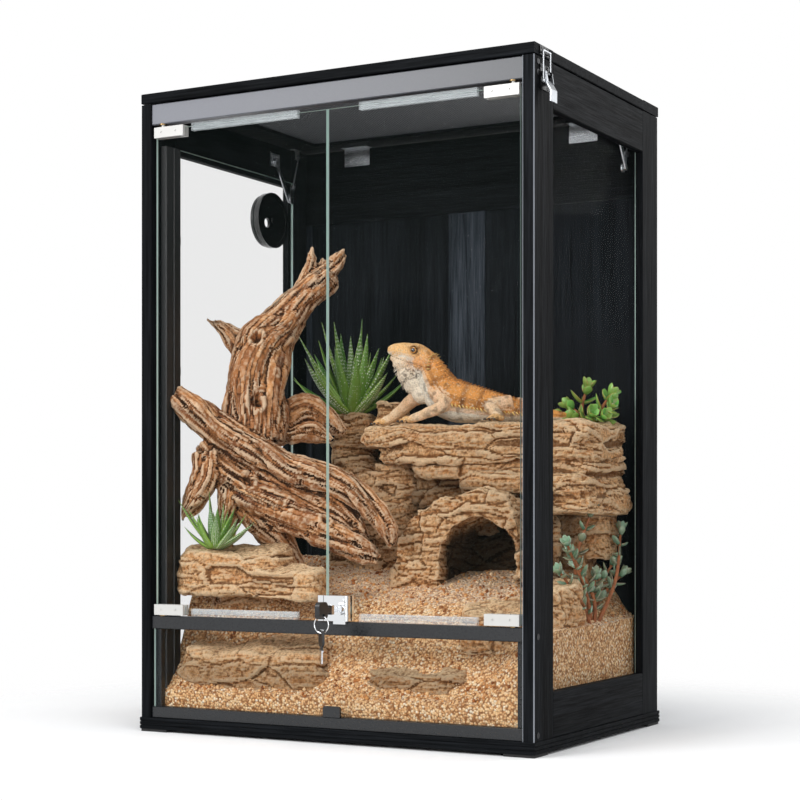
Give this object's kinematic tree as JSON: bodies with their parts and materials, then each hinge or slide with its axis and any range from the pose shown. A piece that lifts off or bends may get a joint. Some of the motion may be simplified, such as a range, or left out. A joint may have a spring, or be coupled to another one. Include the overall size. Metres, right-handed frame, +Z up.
{
  "type": "reptile terrarium",
  "caption": "Front-opening reptile terrarium: black board cabinet, glass sides and doors, mesh lid, lock with keys and a furnished desert interior.",
  "frame": {"origin": "on the floor, at the middle of the pad under the centre of the base board", "axes": "+X to the right as seen from the front, -Y towards the doors, +Z up"},
  "size_m": [0.6363, 0.5015, 0.915],
  "materials": {
    "board": "satin black laminate",
    "panel": "matt grey-black laminate",
    "glass": "clear float glass",
    "feet": "matt black",
    "black_trim": "satin black",
    "white_fitting": "satin white",
    "seal": "clear, glossy",
    "screw_black": "black oxide",
    "bush": "bronze",
    "bright_steel": "bright plated",
    "steel": "brushed",
    "mesh": "grey woven wire",
    "key_plastic": "black head on a bright blade",
    "sand": "coarse desert sand",
    "wood": "weathered driftwood",
    "rock": "sandstone",
    "plant": "fleshy leaves",
    "dragon": "scaly, matt"
  },
  "bodies": {
    "cabinet": {"base_board": "board", "feet": "feet", "front_left_stile": "board", "front_right_stile": "board", "rear_left_stile": "board", "rear_right_stile": "board", "left_side_rails": "board", "right_side_rails": "board", "left_glass": "glass", "right_glass": "glass", "side_glass_clips": "black_trim", "back_rails": "board", "back_uprights": "board", "back_panels": "panel", "front_top_rail": "board", "front_mid_rail": "board", "front_bottom_rail": "board", "rail_screws": "screw_black", "lower_glass": "glass", "lower_glass_holders": "black_trim", "door_bushes": "bush", "lid_hinge_back_leaves": "steel", "lid_hinge_pins": "steel", "lid_hinge_screws": "steel", "stay_side_brackets": "bright_steel", "latch_base": "screw_black", "port_body": "black_trim", "port_nut": "black_trim", "substrate": "sand", "driftwood": "wood", "rock_ledge": "rock", "rock_cave": "rock", "loose_rocks": "rock", "plants": "plant", "bearded_dragon": "dragon"},
    "lid": {"lid_frame": "board", "lid_mesh": "mesh", "lid_hinge_lid_leaves": "steel", "stay_lid_brackets": "bright_steel", "latch_keeper": "screw_black"},
    "left_stay_lower": {"left_stay_lower_arm": "bright_steel"},
    "left_stay_upper": {"left_stay_upper_arm": "steel"},
    "right_stay_lower": {"right_stay_lower_arm": "bright_steel"},
    "right_stay_upper": {"right_stay_upper_arm": "steel"},
    "latch_lever": {"latch_lever": "bright_steel"},
    "latch_bail": {"latch_bail": "bright_steel"},
    "left_door": {"left_door_glass": "glass", "left_door_hinges": "white_fitting", "left_door_seals": "seal", "lock_strike": "bright_steel"},
    "right_door": {"right_door_glass": "glass", "right_door_hinges": "white_fitting", "right_door_seals": "seal", "lock_body": "bright_steel"},
    "lock_cylinder": {"lock_cylinder": "steel"},
    "lock_bolt": {"lock_bolt": "steel"},
    "key": {"key": "key_plastic"},
    "key_ring": {"key_ring": "bright_steel"},
    "spare_key": {"spare_key": "key_plastic"},
    "port_shutter": {"port_shutter": "black_trim"}
  },
  "joints": [
    {"name": "lid_hinge", "type": "hinge", "parent": "cabinet", "child": "lid", "pos_m": [0, 0.2177, 0.8983], "axis": [-1, 0, 0], "range_deg": [0, 75]},
    {"name": "left_stay_side", "type": "hinge", "parent": "cabinet", "child": "left_stay_lower", "pos_m": [-0.2895, 0.106, 0.872], "axis": [1, 0, 0], "range_deg": [0, 53]},
    {"name": "left_stay_elbow", "type": "hinge", "parent": "left_stay_lower", "child": "left_stay_upper", "pos_m": [-0.2895, 0.144, 0.815], "axis": [1, 0, 0], "range_deg": [-50.5, 0]},
    {"name": "right_stay_side", "type": "hinge", "parent": "cabinet", "child": "right_stay_lower", "pos_m": [0.2895, 0.106, 0.872], "axis": [1, 0, 0], "range_deg": [0, 53]},
    {"name": "right_stay_elbow", "type": "hinge", "parent": "right_stay_lower", "child": "right_stay_upper", "pos_m": [0.2895, 0.144, 0.815], "axis": [1, 0, 0], "range_deg": [-50.5, 0]},
    {"name": "latch_lever_pivot", "type": "hinge", "parent": "cabinet", "child": "latch_lever", "pos_m": [0.316, -0.191, 0.878], "axis": [0, -1, 0], "range_deg": [0, 110]},
    {"name": "latch_bail_pivot", "type": "hinge", "parent": "latch_lever", "child": "latch_bail", "pos_m": [0.3145, -0.191, 0.868], "axis": [0, -1, 0], "range_deg": [-121, 0]},
    {"name": "left_door_pivot", "type": "hinge", "parent": "cabinet", "child": "left_door", "pos_m": [-0.277, -0.212, 0.5], "axis": [0, 0, -1], "range_deg": [0, 110]},
    {"name": "right_door_pivot", "type": "hinge", "parent": "cabinet", "child": "right_door", "pos_m": [0.277, -0.212, 0.5], "axis": [0, 0, 1], "range_deg": [0, 110]},
    {"name": "lock_turn", "type": "hinge", "parent": "right_door", "child": "lock_cylinder", "pos_m": [0.0226, -0.215, 0.1835], "axis": [0, -1, 0], "range_deg": [0, 90]},
    {"name": "lock_bolt_slide", "type": "slide", "parent": "right_door", "child": "lock_bolt", "axis": [-1, 0, 0], "range_m": [0, 0.007]},
    {"name": "key_slide", "type": "slide", "parent": "lock_cylinder", "child": "key", "axis": [0, -1, 0], "range_m": [0, 0.035]},
    {"name": "key_ring_swing", "type": "hinge", "parent": "key", "child": "key_ring", "pos_m": [0.0226, -0.269, 0.1758], "axis": [1, 0, 0], "range_deg": [-40, 40]},
    {"name": "spare_key_swing", "type": "hinge", "parent": "key_ring", "child": "spare_key", "pos_m": [0.0226, -0.269, 0.1538], "axis": [1, 0, 0], "range_deg": [-30, 30]},
    {"name": "port_shutter_turn", "type": "hinge", "parent": "cabinet", "child": "port_shutter", "pos_m": [-0.2877, 0.093, 0.776], "axis": [1, 0, 0], "range_deg": [0, 90]}
  ],
  "couplings": [
    {"joint": "left_stay_side", "follows": "lid_hinge", "ratio": 0.70514},
    {"joint": "left_stay_elbow", "follows": "lid_hinge", "ratio": -0.67161},
    {"joint": "right_stay_side", "follows": "lid_hinge", "ratio": 0.70514},
    {"joint": "right_stay_elbow", "follows": "lid_hinge", "ratio": -0.67161},
    {"joint": "latch_bail_pivot", "follows": "latch_lever_pivot", "ratio": -1.1},
    {"joint": "lock_bolt_slide", "follows": "lock_turn", "m_per_rad": 0.004456}
  ]
}
